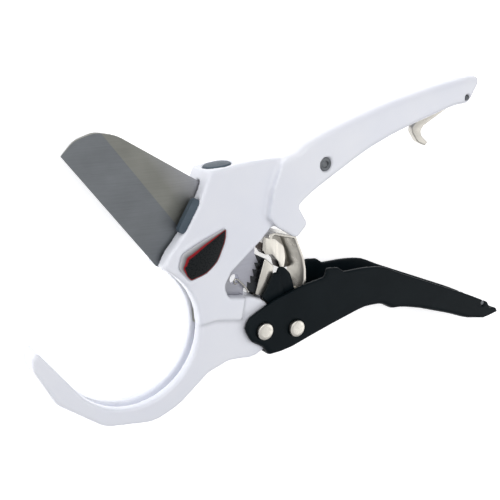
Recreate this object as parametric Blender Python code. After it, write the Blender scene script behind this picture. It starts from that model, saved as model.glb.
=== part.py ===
"""Ratcheting pvc pipe cutter, lying on its side with its handles open.

Drawn in millimetres on the blade's mid-plane: x runs from the hook jaw to the ends of the
handles, y up towards the blade, z across the tool, and the origin is the axis of a 48 mm pipe
held in the jaw. The frame empty then puts the tool on the ground in metres.
"""
import math

import bmesh
import bpy
import numpy as np
from mathutils import Matrix, Vector

MM = 0.001
GAP = 0.3  # running clearance between neighbours

# thickness of the main layers, each measured from the mid-plane
BODY_HALF = 6.5
JAW_HALF = 5.2
GRIP_HALF = 9.1
HOLLOW_HALF = 6.3
SLOT_HALF = 1.55
BLADE_HALF = 1.2
HANDLE_HALF = 7.6
HANDLE_SHEET = 1.6
HEAD_HEIGHT = 1.2
REST_Z = -(HANDLE_HALF + GAP + HEAD_HEIGHT)  # everything stands on this level

# driving places
THROAT_R = 24.4
BLADE_PIVOT = (27.0, 23.3)
HANDLE_PIVOT = (49.0, -6.1)
PAWL_PIVOT = (62.5, -7.6)
CHECK_PIVOT = (53.4, 3.0)
LATCH_PIVOT = (139.0, 70.2)
CATCH_PIN = (156.6, -15.6)
GRIP_SCREW = (73.7, 51.1)
TOOTH_TIP_R = 24.0
TOOTH_ROOT_R = 22.6
TOOTH_START = -9.0
TOOTH_PITCH = 6.1
TOOTH_COUNT = 14
EDGE_HEEL = (11.4, 21.8)
EDGE_TIP = (-19.4, 61.4)
GRIND_WIDTH = 14.0
EDGE_LAND = 0.15
BLADE_TIP_R = 60.1
BLADE_OPEN = 140.5  # degrees from the pivot to the blade's tip, jaw open
BLADE_SWING = 111.0
SPRING_HOLE = (40.6, 12.7)  # in the blade's tail, where the spring's hook shows
STRAP_HALF = 5.6
CLAW_HALF = 2.4
CHECK_HALF = 3.8
CARRIER_INNER = 4.1
CARRIER_MIDDLE = 4.9
CARRIER_OUTER = 5.6
CARRIER_BORE_R = 2.9
SPRING_WIRE_R = 0.36
CENTRE_X = 65.814
CENTRE_Y = 23.522


def polar(centre, radius, degrees):
    angle = math.radians(degrees)
    return (centre[0] + radius * math.cos(angle), centre[1] + radius * math.sin(angle))


def arc(centre, radius, start, end, step=9.0):
    """Points from start to end degrees, both included."""
    count = max(2, int(abs(end - start) / step) + 1)
    return [polar(centre, radius, a) for a in np.linspace(start, end, count)]


def rounded(corners, step=15.0):
    """A closed outline whose corners (x, y, radius) are turned into arcs; (x, y) stays sharp."""
    outline = []
    total = len(corners)
    for i, corner in enumerate(corners):
        here = Vector(corner[:2])
        radius = corner[2] if len(corner) > 2 else 0.0
        back = Vector(corners[i - 1][:2]) - here
        ahead = Vector(corners[(i + 1) % total][:2]) - here
        turn = math.pi - back.angle(ahead)
        if radius <= 0.0 or turn < math.radians(2.0):
            outline.append(tuple(here))
            continue
        reach = min(radius * math.tan(turn / 2), 0.48 * back.length, 0.48 * ahead.length)
        radius = reach / math.tan(turn / 2)
        enter = here + back.normalized() * reach
        leave = here + ahead.normalized() * reach
        centre = here + (back.normalized() + ahead.normalized()).normalized() * math.hypot(radius, reach)
        first = math.atan2(enter.y - centre.y, enter.x - centre.x)
        last = math.atan2(leave.y - centre.y, leave.x - centre.x)
        sweep = (last - first + math.pi) % (2 * math.pi) - math.pi
        count = max(1, int(round(math.degrees(abs(sweep)) / step)))
        for k in range(count + 1):
            a = first + sweep * k / count
            outline.append((centre.x + radius * math.cos(a), centre.y + radius * math.sin(a)))
    return outline


def material(name, colour, roughness, metallic=0.0):
    made = bpy.data.materials.get(name)
    if made is None:
        made = bpy.data.materials.new(name)
        made.use_nodes = True
        shader = made.node_tree.nodes["Principled BSDF"]
        shader.inputs["Base Color"].default_value = (*colour, 1.0)
        shader.inputs["Roughness"].default_value = roughness
        shader.inputs["Metallic"].default_value = metallic
    return made


def white_enamel():
    return material("white_enamel", (0.86, 0.87, 0.90), 0.22)


def black_enamel():
    return material("black_enamel", (0.018, 0.022, 0.026), 0.38)


def nickel():
    return material("nickel", (0.66, 0.62, 0.55), 0.28, 1.0)


def blade_steel():
    return material("blade_steel", (0.42, 0.43, 0.43), 0.36, 1.0)


def dark_rubber():
    return material("dark_rubber", (0.05, 0.06, 0.085), 0.5)


def label_film():
    return material("label_film", (0.02, 0.02, 0.022), 0.3)


def dark_steel():
    return material("dark_steel", (0.13, 0.14, 0.15), 0.4, 1.0)


def spring_steel():
    return material("spring_steel", (0.5, 0.5, 0.48), 0.3, 1.0)


def frame_empty():
    empty = bpy.data.objects.new("tool_frame", None)
    bpy.context.collection.objects.link(empty)
    empty.location = (-CENTRE_X * MM, -CENTRE_Y * MM, -REST_Z * MM)
    return empty


def axis_empty(name, frame, point):
    empty = bpy.data.objects.new(name, None)
    bpy.context.collection.objects.link(empty)
    empty.parent = frame
    empty.location = (point[0] * MM, point[1] * MM, 0.0)
    return empty


def place(name, shape, parent, surface=None):
    """Turn a bmesh drawn in millimetres into an object under the frame or an axis empty."""
    shift = Vector((0, 0, 0)) if parent.parent is None else parent.location
    bmesh.ops.transform(shape, matrix=Matrix.Scale(MM, 4), verts=shape.verts)
    bmesh.ops.translate(shape, vec=-shift, verts=shape.verts)
    bmesh.ops.recalc_face_normals(shape, faces=shape.faces)
    mesh = bpy.data.meshes.new(name)
    shape.to_mesh(mesh)
    shape.free()
    made = bpy.data.objects.new(name, mesh)
    bpy.context.collection.objects.link(made)
    made.parent = parent
    if surface is not None:
        mesh.materials.append(surface)
        mesh.shade_smooth()
        mesh.set_sharp_from_angle(angle=math.radians(32))
    return made


def slab(outline, low, high, soften=0.0, segments=2, chosen=None):
    """An outline pulled from z low to z high, with the chosen rim edges rounded."""
    shape = bmesh.new()
    face = shape.faces.new([shape.verts.new((x, y, low)) for x, y in outline])
    lifted = bmesh.ops.extrude_face_region(shape, geom=[face])
    top = [v for v in lifted["geom"] if isinstance(v, bmesh.types.BMVert)]
    bmesh.ops.translate(shape, vec=(0, 0, high - low), verts=top)
    bmesh.ops.recalc_face_normals(shape, faces=shape.faces)
    if soften > 0.0:
        rim = []
        for edge in shape.edges:
            middle = (edge.verts[0].co + edge.verts[1].co) / 2
            flat = abs(edge.verts[0].co.z - edge.verts[1].co.z) < 1e-6
            if flat and (chosen is None or chosen(middle)):
                rim.append(edge)
        bmesh.ops.bevel(shape, geom=rim, offset=soften, segments=segments, profile=0.5,
                        affect="EDGES", clamp_overlap=False)
    return shape


def turned(profile, centre, sides=24):
    """A solid of revolution about z; profile is (radius, z) from the axis round to the axis."""
    shape = bmesh.new()
    rings = []
    for radius, z in profile:
        if radius <= 0.0:
            rings.append([shape.verts.new((centre[0], centre[1], z))])
        else:
            rings.append([shape.verts.new((*polar(centre, radius, 360.0 * k / sides), z))
                          for k in range(sides)])
    for lower, upper in zip(rings, rings[1:]):
        skin(shape, lower, upper)
    if len(rings[0]) > 1:
        skin(shape, rings[-1], rings[0])
    return shape


def skin(shape, lower, upper):
    sides = max(len(lower), len(upper))
    for k in range(sides):
        after = (k + 1) % sides
        if len(lower) == 1:
            shape.faces.new((lower[0], upper[after], upper[k]))
        elif len(upper) == 1:
            shape.faces.new((lower[k], lower[after], upper[0]))
        else:
            shape.faces.new((lower[k], lower[after], upper[after], upper[k]))


def wire(points, radius, sides=6):
    """Round wire along a smooth path of points, with flat ends."""
    path = [Vector(p) for p in points]
    shape = bmesh.new()
    rings = []
    side = None
    for i, here in enumerate(path):
        along = (path[min(i + 1, len(path) - 1)] - path[max(i - 1, 0)]).normalized()
        if side is None:
            side = along.orthogonal().normalized()
        side = (side - along * side.dot(along)).normalized()
        other = along.cross(side)
        angles = [2 * math.pi * k / sides for k in range(sides)]
        rings.append([shape.verts.new(here + (side * math.cos(a) + other * math.sin(a)) * radius)
                      for a in angles])
    for lower, upper in zip(rings, rings[1:]):
        skin(shape, lower, upper)
    shape.faces.new(rings[0])
    shape.faces.new(rings[-1])
    return shape


def boolean(target, operation, name, shape):
    """Cut or join a hidden helper shape with a finished part."""
    helper = place(name, shape, target.parent)
    helper.hide_render = True
    helper.display_type = "WIRE"
    modifier = target.modifiers.new(name, "BOOLEAN")
    modifier.operation = operation
    modifier.solver = "EXACT"
    modifier.object = helper


def drill(target, name, centre, radius, low, high, sides=24):
    hole = turned([(0, low), (radius, low), (radius, high), (0, high)], centre, sides)
    boolean(target, "DIFFERENCE", name, hole)


def core_outline():
    throat = arc((0, 0), THROAT_R, 0, 57)
    return rounded(throat + [
        (11.0, 22.4), (13.2, 26.8, 4), (18.2, 32.6, 8), (25.2, 44.2, 12), (28.9, 53.0, 1.6),
        (44, 54.6, 10), (60, 54.9, 4), (60, 38, 4), (53.8, 31.4, 1.0), (51.8, 29.0, 1.5),
        (36.8, 17.0, 2.0), (34.2, 12.4, 2.2), (35.8, 8.0, 2.4), (42.6, 6.8), (41.0, -1.3),
        (31.0, 0.5, 4)])


def jaw_outline():
    throat = arc((0, 0), THROAT_R, 4, -143.6, 6.0)
    hook = [
        (-32.4, 2.5, 1.5), (-33.9, -0.4, 2.0), (-33.7, -4.2, 4), (-27.0, -17.0, 7),
        (-11.0, -28.9, 9), (7.0, -31.6, 14), (16.5, -27.6, 12), (28.0, -18.4, 6),
        (36.5, -15.6, 6), (44.5, -16.3, 4), (47.4, -16.0, 1.5)]
    boss = arc(HANDLE_PIVOT, 8.6, -84, 58, 12.0)
    window = [(50.0, 4.6, 1.5), (45.6, 6.3, 2.5), (38.0, 7.4, 2), (30, 4.0, 1)]
    return rounded(throat + hook + boss + window, 12.0)


def grip_outline():
    return rounded([
        (55.5, 53.4, 2), (57.6, 55.0, 3), (61.6, 56.3, 4), (65.8, 59.3, 5), (78.3, 64.0, 60),
        (99.2, 70.2, 120), (120.1, 74.9, 140), (138.0, 78.0, 30), (146.6, 78.4, 4.4),
        (140.4, 67.9, 4.2), (133.7, 67.6, 30), (108.8, 60.6, 120),
        (98.9, 57.3, 90), (89.0, 52.8, 90), (76.0, 45.8, 90), (63.1, 38.9, 2.5),
        (62.2, 37.2, 2.5), (66.2, 30.8, 2.4), (61.4, 26.3, 1.5), (53.8, 31.1, 2),
        (50.2, 34.9, 3), (52.0, 45.0, 10)], 8.0)


def hollow_outline():
    return rounded([
        (49.6, 30), (49.6, 41.5, 3), (56.0, 47.5, 5), (66.0, 54.0, 5), (78.5, 59.6, 40),
        (99.0, 66.0, 60), (120.0, 70.8, 60), (136.0, 73.6, 20), (142.2, 73.4, 0.6), (152, 73.4),
        (152, 60), (100, 40), (70, 20), (49.6, 20)], 12.0)


def blade_sweep():
    """Everything that the blade and its tail pass through, from open to closed."""
    fan = arc(BLADE_PIVOT, BLADE_TIP_R + 0.9, BLADE_OPEN - 3.5, BLADE_OPEN + BLADE_SWING + 2, 5.0)
    tail = arc(BLADE_PIVOT, TOOTH_TIP_R + 1.2, -68, 58.5, 6.0)
    return fan + tail


def body(frame):
    part = place("body", slab(core_outline(), -BODY_HALF, BODY_HALF, 0.9), frame, white_enamel())
    boolean(part, "UNION", "jaw_shape", slab(jaw_outline(), -JAW_HALF, JAW_HALF, 0.7))
    boolean(part, "UNION", "grip_shape",
            slab(grip_outline(), -GRIP_HALF, GRIP_HALF, 2.0, 3, soft_grip_edge))
    boolean(part, "DIFFERENCE", "grip_hollow", slab(hollow_outline(), -HOLLOW_HALF, HOLLOW_HALF))
    boolean(part, "DIFFERENCE", "blade_slot", slab(blade_sweep(), -SLOT_HALF, SLOT_HALF))
    boolean(part, "DIFFERENCE", "check_pocket", slab(arc(CHECK_PIVOT, 3.5, 0, 342, 18), -4.1, 4.1))
    ear = arc(CHECK_PIVOT, 2.5, -20, 200, 20) + [(49.4, -2.6), (54.6, -3.0)]
    boolean(part, "UNION", "check_ear", slab(ear, -2.2, 2.2))
    boolean(part, "DIFFERENCE", "label_recess", slab(label_outline(GAP), 6.0, 9.0))
    far_end = REST_Z - 1.0
    drill(part, "bolt_bore", BLADE_PIVOT, 2.9, far_end, 5.2)
    drill(part, "handle_bore", HANDLE_PIVOT, 2.9, far_end, -far_end)
    drill(part, "check_bore", CHECK_PIVOT, 1.3, -4.0, 4.0, 16)
    drill(part, "screw_bore", GRIP_SCREW, 1.9, far_end, -far_end, 16)
    drill(part, "screw_head_bore", GRIP_SCREW, 2.7, 7.2, -far_end, 20)
    drill(part, "latch_bore", LATCH_PIVOT, 1.3, far_end, -far_end, 16)
    for side, sign in (("near", 1), ("far", -1)):
        recess = pad_shape(sign, GAP)
        boolean(part, "DIFFERENCE", f"front_pad_{side}_recess", recess)
    boolean(part, "DIFFERENCE", "top_pad_recess", top_pad_shape(GAP))
    return part


def soft_grip_edge(middle):
    """The grip's rim is round where a hand holds it, and crisp round the mechanism."""
    return middle.x > 66.5 or middle.y > 54.0


def label_outline(grow=0.0):
    centre = Vector((26.0, 24.6))
    corners = [(20.6, 16.6, 1.5), (16.2, 21.6, 2.5), (17.6, 26.6, 3), (25.0, 30.0, 14),
               (34.6, 33.6, 0.8), (34.4, 29.0, 6), (31.2, 21.8, 8), (26.8, 18.2, 8)]
    grown = []
    for x, y, radius in corners:
        out = (Vector((x, y)) - centre).normalized() * grow * 1.3
        grown.append((x + out.x, y + out.y, radius + grow))
    return rounded(grown)


def stadium(length, width, step=30.0):
    """A flat outline with two round ends, centred on the origin, its long side along x."""
    half = (length - width) / 2
    return arc((half, 0), width / 2, -90, 90, step) + arc((-half, 0), width / 2, 90, 270, step)


def laid(outline, thickness, centre, long_axis, up):
    """A flat outline laid on a face: long_axis is its x, up the way its thickness points."""
    shape = slab(outline, 0.0, thickness, 0.0)
    x_axis = Vector(long_axis).normalized()
    z_axis = Vector(up).normalized()
    turn = Matrix((x_axis, z_axis.cross(x_axis), z_axis)).transposed().to_4x4()
    bmesh.ops.transform(shape, matrix=Matrix.Translation(centre) @ turn, verts=shape.verts)
    return shape


FRONT_WALL_LOW = Vector((18.2, 32.6, 0))
FRONT_WALL_HIGH = Vector((25.2, 44.2, 0))
PAD_LENGTH = 12.4
PAD_WIDTH = 3.6
PAD_MIDDLE = 4.0
PAD_SUNK = 0.7
PAD_PROUD = 2.1


def pad_shape(sign, grow=0.0):
    """The bumper let into the front wall of one cheek, beside the slot, standing well proud."""
    along = (FRONT_WALL_HIGH - FRONT_WALL_LOW).normalized()
    outward = Vector((-along.y, along.x, 0))
    middle = (FRONT_WALL_LOW + FRONT_WALL_HIGH) / 2 + Vector((0, 0, PAD_MIDDLE * sign))
    outline = stadium(PAD_LENGTH + 2 * grow, PAD_WIDTH + 2 * grow)
    return laid(outline, PAD_SUNK + PAD_PROUD + 6 * grow, middle - outward * (PAD_SUNK + grow), along, outward)


def top_pad_shape(grow=0.0):
    """The thumb rest let into the top of the body."""
    middle = Vector((34.8, 53.6, 0))
    along = Vector((15.1, 1.6, 0)).normalized()
    upward = Vector((-along.y, along.x, 0))
    outline = stadium(9.8 + 2 * grow, 8.4 + 2 * grow)
    return laid(outline, 1.9 + 6 * grow, middle - upward * (1.3 + grow), along, upward)


def blade_outline():
    """Broad blade, round hub, and the ratchet teeth on its tail."""
    teeth = []
    for k in range(TOOTH_COUNT):
        top = TOOTH_START - k * TOOTH_PITCH
        teeth.append(polar(BLADE_PIVOT, TOOTH_ROOT_R, top))
        teeth.append(polar(BLADE_PIVOT, TOOTH_TIP_R, top - 0.82 * TOOTH_PITCH))
        teeth.append(polar(BLADE_PIVOT, TOOTH_TIP_R, top - 0.95 * TOOTH_PITCH))
    tail_end = TOOTH_START - TOOTH_COUNT * TOOTH_PITCH
    hub = arc(BLADE_PIVOT, 10.8, tail_end - 8, -168, 12.0)
    tip = [(*EDGE_HEEL, 0.5), (*EDGE_TIP, 0.3), (-15.0, 65.9, 8), (-8.2, 67.9, 8), (-1.2, 66.4, 10)]
    back = arc(BLADE_PIVOT, 22.0, 58, TOOTH_START + 3, 8.0)
    return rounded(hub + tip + back + teeth, 10.0)


def edge_grind(sign):
    """Wedge that tapers one flank from the grind's crease down to a thin land at the edge."""
    heel = Vector((*EDGE_HEEL, 0))
    tip = Vector((*EDGE_TIP, 0))
    along = (tip - heel).normalized()
    inward = Vector((along.y, -along.x, 0))
    rise = (BLADE_HALF - EDGE_LAND) / GRIND_WIDTH
    before, beyond, clear = 3.0, GRIND_WIDTH + 4.0, 4.0
    corners = ((-before, EDGE_LAND - before * rise), (beyond, EDGE_LAND + beyond * rise),
               (beyond, clear), (-before, clear))
    shape = bmesh.new()
    ends = []
    for base in (heel - along * 2.0, tip + along * 12.0):
        ends.append([shape.verts.new((*(base + inward * u).to_2d(), sign * z)) for u, z in corners])
    skin(shape, ends[0], ends[1])
    shape.faces.new(ends[0])
    shape.faces.new(ends[1])
    return shape


def blade(pivot):
    part = place("blade", slab(blade_outline(), -BLADE_HALF, BLADE_HALF), pivot, blade_steel())
    for sign in (1, -1):
        boolean(part, "DIFFERENCE", f"edge_grind_{'near' if sign > 0 else 'far'}", edge_grind(sign))
    drill(part, "spring_hole", SPRING_HOLE, 1.8, -3, 3)
    drill(part, "blade_bore", BLADE_PIVOT, 4.4, -3, 3)


def blade_fastening(frame):
    """Bolt from the far side, with its bush in the blade and a washer under its head."""
    place("blade_bush", turned([(2.9, -1.45), (4.1, -1.45), (4.1, 1.45), (2.9, 1.45)], BLADE_PIVOT),
          frame, nickel())
    head = REST_Z
    bolt = [(0, head), (4.9, head), (5.3, head + 0.4), (5.3, -7.7), (2.55, -7.7), (2.55, 4.5), (2.2, 4.9),
            (0, 4.9)]
    place("blade_bolt", turned(bolt, BLADE_PIVOT), frame, nickel())
    place("bolt_washer", turned([(2.9, -7.4), (6.2, -7.4), (6.2, -6.8), (2.9, -6.8)], BLADE_PIVOT),
          frame, nickel())


def trim(frame):
    place("label_plate", slab(label_outline(), 6.3, 7.0, 0.15, 1), frame, label_film())
    for side, sign in (("near", 1), ("far", -1)):
        place(f"front_pad_{side}", pad_shape(sign), frame, dark_rubber())
    place("top_pad", top_pad_shape(), frame, dark_rubber())


def grip_fastening(frame):
    screw = [(0, -8.7), (1.6, -8.7), (1.6, 7.5), (2.4, 7.5), (2.4, 8.3), (1.2, 8.3), (1.2, 7.8), (0, 7.8)]
    place("grip_screw", turned(screw, GRIP_SCREW, 20), frame, dark_steel())
    pin = [(0, -8.8), (1.0, -8.8), (1.0, 8.8), (0, 8.8)]
    place("latch_pin", turned(pin, LATCH_PIVOT, 16), frame, dark_steel())
    coil = [(*polar(LATCH_PIVOT, 1.9, a), 1.9 + 1.5 * a / 900) for a in np.arange(0, 901, 30)]
    place("latch_spring", wire(coil, 0.28, 5), frame, spring_steel())


def handle_outline():
    return rounded([
        (41.3, -4.4, 4), (43.3, -0.6, 5), (49.3, 2.4, 12), (54.3, 4.5, 12), (61.2, 6.5, 30),
        (67.2, 7.9, 30), (75.4, 9.2, 0.8), (76.4, 12.4, 0.8), (81.2, 11.9, 1.4), (84.0, 9.9, 1.5),
        (94.1, 9.9, 40), (103.1, 8.8, 40), (109.0, 5.8, 60), (129.0, -2.6, 200), (148.9, -10.8, 90),
        (159.3, -15.6, 1.5), (161.2, -18.6, 1.0), (164.3, -18.9, 2), (165.9, -21.0, 0.5),
        (158.0, -22.4, 8), (149.5, -21.4, 30), (139.5, -17.4, 60), (119.5, -10.8, 60),
        (112.0, -9.4, 12), (108.0, -9.2, 6), (103.0, -6.2, 9), (94.5, -5.9, 20),
        (79.5, -9.9, 90), (69.5, -12.8, 60), (59.5, -15.9, 20), (51.6, -16.3, 2),
        (48.8, -12.6, 2), (44.4, -9.9, 5)], 10.0)


def channel_outline():
    """Room between the flanges: open above, and a sheet's thickness inside the web below."""
    return rounded([
        (30, -30), (50.6, -30), (50.6, -14.9, 0.3), (52.6, -14.6, 1), (59.3, -14.2, 20),
        (69.2, -11.1, 60), (79.2, -8.2, 90), (94.3, -4.2, 20), (102.6, -4.5, 9), (107.4, -7.4, 6),
        (112.0, -7.8, 12), (119.2, -9.1, 60), (138.9, -15.7, 60), (149.2, -19.7, 30),
        (157.6, -20.7, 8), (172, -17.2), (172, 40), (30, 40)], 12.0)


def web_edge(middle):
    """The bottom contour of the handle, where the sheet is folded round the web."""
    line = np.interp(middle.x, (48, 52, 60, 100, 110, 140, 166), (-10, -12, -12, -3, -6, -13, -20.4))
    return middle.y < line and middle.x < 157


def lower_handle(pivot):
    part = place("lower_handle", slab(handle_outline(), -HANDLE_HALF, HANDLE_HALF, 1.5, 2, web_edge),
                 pivot, black_enamel())
    inner = HANDLE_HALF - HANDLE_SHEET
    boolean(part, "DIFFERENCE", "channel_room", slab(channel_outline(), -inner, inner))
    hook_slot = rounded([(150.5, -30), (161.0, -30), (161.0, -10), (150.5, -10)])
    boolean(part, "DIFFERENCE", "hook_slot", slab(hook_slot, -2.2, 2.2))
    beyond = HANDLE_HALF + 2
    drill(part, "handle_rivet_bore", HANDLE_PIVOT, 2.9, -beyond, beyond)
    drill(part, "pawl_rivet_bore", PAWL_PIVOT, 2.9, -beyond, beyond)
    drill(part, "catch_pin_bore", CATCH_PIN, 1.3, -beyond, beyond, 16)


def rivet(name, centre, parent):
    """Round shank with a flat domed head outside each flange."""
    seat = HANDLE_HALF + GAP
    top = seat + HEAD_HEIGHT
    half = [(0, top), (2.5, top), (3.1, top - 0.45), (3.1, seat), (2.55, seat)]
    profile = half + [(radius, -z) for radius, z in reversed(half)]
    place(name, turned(profile[::-1], centre), parent, nickel())


def handle_fastening(pivot):
    rivet("handle_rivet", HANDLE_PIVOT, pivot)
    rivet("pawl_rivet", PAWL_PIVOT, pivot)
    pin = [(0, -7.3), (1.0, -7.3), (1.0, 7.3), (0, 7.3)]
    place("catch_pin", turned(pin, CATCH_PIN, 16), pivot, dark_steel())


def strap_outline():
    """Bent strip: up from the handle, over the top, and down to the claw."""
    outer = [(67.3, 3.0, 8), (68.6, 11.0, 12), (67.2, 17.5, 10), (63.6, 26.0, 2.2), (52.6, 29.2, 2.0),
             (51.7, 24.4, 0.8), (51.5, 21.6)]
    inner = [(52.6, 21.8), (53.2, 25.0, 0.6), (53.9, 27.6, 0.6), (62.8, 25.1, 1.2), (66.1, 17.0, 9),
             (67.4, 11.0, 11), (66.1, 3.0, 8)]
    return rounded(outer + inner)


def claw_outline():
    """The blunt claw behind the teeth, with a curved finger that reaches down."""
    return rounded([(52.2, 26.4, 0.4), (56.6, 25.2, 2), (60.4, 22.0, 2.4), (61.2, 17.4, 3),
                    (60.5, 14.2, 0.5), (59.0, 13.8, 0.5), (58.2, 16.8, 1.5), (55.6, 19.8, 1.2),
                    (52.8, 19.9, 0.5), (51.7, 22.0, 0.6)])


def far_cheek_outline():
    """Narrow flange turned inwards from the strap's far edge."""
    return rounded([(67.0, 11.6), (66.2, 18.0, 9), (62.8, 25.4, 1.2), (58.0, 26.8), (59.6, 23.4, 2),
                    (62.4, 19.8, 4), (63.3, 15.0, 4), (64.4, 11.6, 0.5)])


def feed_pawl(pivot):
    part = place("feed_pawl", slab(strap_outline(), -STRAP_HALF, STRAP_HALF, 0.25, 1), pivot, nickel())
    eye = slab(arc(PAWL_PIVOT, 4.4, 60, 385, 18) + [(67.0, 5.5), (65.8, 5.5), (64.8, -1.0)], -2.0, 2.0)
    boolean(part, "UNION", "pawl_eye", eye)
    drill(part, "pawl_eye_bore", PAWL_PIVOT, 2.9, -4, 4)
    for side, sign in (("near", 1), ("far", -1)):
        relief = slab([(50, 19), (55.2, 19), (55.2, 26.0), (50, 27.0)], CLAW_HALF, 7.0)
        bmesh.ops.scale(relief, vec=(1, 1, sign), verts=relief.verts)
        boolean(part, "DIFFERENCE", f"claw_relief_{side}", relief)
    boolean(part, "UNION", "claw", slab(claw_outline(), -CLAW_HALF, CLAW_HALF))
    boolean(part, "UNION", "far_cheek", slab(far_cheek_outline(), -STRAP_HALF + 0.1, -STRAP_HALF + 1.1))


def carrier_outline():
    """The forward lobe, whose foot goes round the pawl's rivet."""
    return rounded(arc(PAWL_PIVOT, 4.8, -150, 20, 18) + [
        (63.4, 1.6, 4), (58.8, 4.8, 3), (57.7, 9.6, 5), (56.8, 13.4, 1.0), (54.6, 13.7, 1.4),
        (52.4, 9.6, 3), (49.7, 5.5, 0.8), (51.8, 3.4, 1), (57.0, 2.6, 2), (58.3, -3.0, 2)])


def carrier_disc_outline():
    """The round lobe behind it, set one sheet further in."""
    return rounded(arc(PAWL_PIVOT, 4.7, -60, 50, 22) + [
        (64.4, 3.0, 4), (63.0, 8.4, 5), (61.6, 12.4, 3), (59.0, 15.2, 1.8), (56.8, 15.2, 1.2),
        (55.8, 12.6, 0.6), (56.6, 6.0, 3), (60.5, -3.0)])


def pawl_carrier(pivot):
    """Two lobed side plates on the pawl's rivet, joined by a cross bar."""
    part = place("pawl_carrier", slab(carrier_outline(), CARRIER_INNER, CARRIER_OUTER, 0.2, 1),
                 pivot, black_enamel())
    boolean(part, "UNION", "carrier_disc", slab(carrier_disc_outline(), CARRIER_INNER, CARRIER_MIDDLE))
    boolean(part, "UNION", "carrier_far_plate",
            slab(carrier_outline(), -CARRIER_OUTER, -CARRIER_INNER, 0.2, 1))
    beam = CARRIER_INNER + 0.6
    boolean(part, "UNION", "carrier_bar",
            turned([(0, -beam), (1.2, -beam), (1.2, beam), (0, beam)], (60.0, 0.8), 16))
    drill(part, "carrier_bore", PAWL_PIVOT, CARRIER_BORE_R, -7, 7)


def pivot_springs(pivot):
    """Torsion springs on the pawl's rivet, one on each side of the pawl's eye."""
    for name, low in (("feed_pawl_spring", 2.6), ("handle_spring", -3.6)):
        coil = [(*polar(PAWL_PIVOT, 3.6, a), low + a / 540) for a in np.arange(0, 541, 27)]
        place(name, wire(coil, 0.28, 5), pivot, spring_steel())


def check_pawl(pivot):
    """Folded pawl that straddles the body's ear and follows the curve of the teeth."""
    side = rounded([(51.0, 1.3, 2), (55.4, 1.0, 2), (55.9, 5.6, 3), (54.9, 10.4, 6), (55.3, 16.0, 0.6),
                    (51.8, 19.2, 0.4), (49.7, 12.9, 14), (47.8, 6.5, 0.6), (50.4, 5.6, 0.5)])
    part = place("check_pawl", slab(side, -CHECK_HALF, CHECK_HALF, 0.2, 1), pivot, nickel())
    room = rounded([(46, -2), (58, -2), (58, 6.2, 1), (46, 6.2)])
    boolean(part, "DIFFERENCE", "ear_room", slab(room, -2.5, 2.5))
    drill(part, "check_pawl_bore", CHECK_PIVOT, 1.3, -5, 5, 16)


def check_pin(frame):
    pin = [(0, -3.7), (1.0, -3.7), (1.0, 3.7), (0, 3.7)]
    place("check_pin", turned(pin, CHECK_PIVOT, 16), frame, nickel())


def blade_spring(frame):
    """Wire that pulls the tail back; its hooked end shows at the hole in the tail."""
    level = 2.2
    hook = arc((40.8, 12.1), 0.85, 300, 43, 22.0)
    leg = [(42.4, 11.7), (43.9, 10.1), (45.3, 8.2), (45.5, 7.2)]
    place("blade_spring", wire([(x, y, level) for x, y in hook + leg], SPRING_WIRE_R, 6),
          frame, spring_steel())


def latch_hook(pivot):
    outline = rounded(arc(LATCH_PIVOT, 2.7, 200, -60, 20) + [
        (137.0, 65.9, 1), (128.0, 61.4, 3), (124.6, 59.7, 1.2), (123.3, 57.8, 1.2), (124.1, 55.7, 1.4),
        (127.2, 53.2, 0.3), (126.0, 52.0, 0.3), (122.0, 53.8, 3), (118.2, 58.8, 2.4), (122.0, 62.6, 5),
        (134.0, 68.6, 8)])
    part = place("latch_hook", slab(outline, -1.3, 1.3, 0.25, 1), pivot, nickel())
    drill(part, "latch_hook_bore", LATCH_PIVOT, 1.3, -3, 3, 16)


def build():
    for existing in list(bpy.data.objects):
        bpy.data.objects.remove(existing, do_unlink=True)
    frame = frame_empty()
    body(frame)
    trim(frame)
    blade_fastening(frame)
    grip_fastening(frame)
    check_pin(frame)
    blade_spring(frame)
    blade(axis_empty("blade_axis", frame, BLADE_PIVOT))
    handle_axis = axis_empty("handle_axis", frame, HANDLE_PIVOT)
    lower_handle(handle_axis)
    handle_fastening(handle_axis)
    pawl_axis = axis_empty("pawl_axis", frame, PAWL_PIVOT)
    feed_pawl(pawl_axis)
    pawl_carrier(pawl_axis)
    pivot_springs(pawl_axis)
    check_pawl(axis_empty("check_axis", frame, CHECK_PIVOT))
    latch_hook(axis_empty("latch_axis", frame, LATCH_PIVOT))


build()
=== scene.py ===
import math

import bmesh
import bpy
import numpy as np
from mathutils import Matrix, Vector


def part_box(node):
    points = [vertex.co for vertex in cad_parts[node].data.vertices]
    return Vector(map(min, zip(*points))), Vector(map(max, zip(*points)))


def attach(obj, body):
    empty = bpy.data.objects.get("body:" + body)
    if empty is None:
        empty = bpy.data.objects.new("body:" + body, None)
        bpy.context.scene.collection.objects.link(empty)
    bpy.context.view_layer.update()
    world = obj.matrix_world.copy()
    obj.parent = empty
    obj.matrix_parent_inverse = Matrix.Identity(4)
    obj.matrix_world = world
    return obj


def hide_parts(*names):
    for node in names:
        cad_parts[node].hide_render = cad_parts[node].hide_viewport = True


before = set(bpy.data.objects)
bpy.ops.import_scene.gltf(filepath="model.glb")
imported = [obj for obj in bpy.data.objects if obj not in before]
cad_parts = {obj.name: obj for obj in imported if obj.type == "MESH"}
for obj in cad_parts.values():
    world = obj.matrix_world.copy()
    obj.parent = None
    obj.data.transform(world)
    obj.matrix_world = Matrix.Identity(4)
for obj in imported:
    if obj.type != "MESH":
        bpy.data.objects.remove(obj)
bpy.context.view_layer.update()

mm = 0.001


def boxOf(nodeName):
    low, high = (np.array(corner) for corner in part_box(nodeName))
    return low, high, (low + high) / 2


def vertexArray(mesh):
    co = np.empty(len(mesh.vertices) * 3)
    mesh.vertices.foreach_get("co", co)
    return co.reshape(-1, 3)


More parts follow.
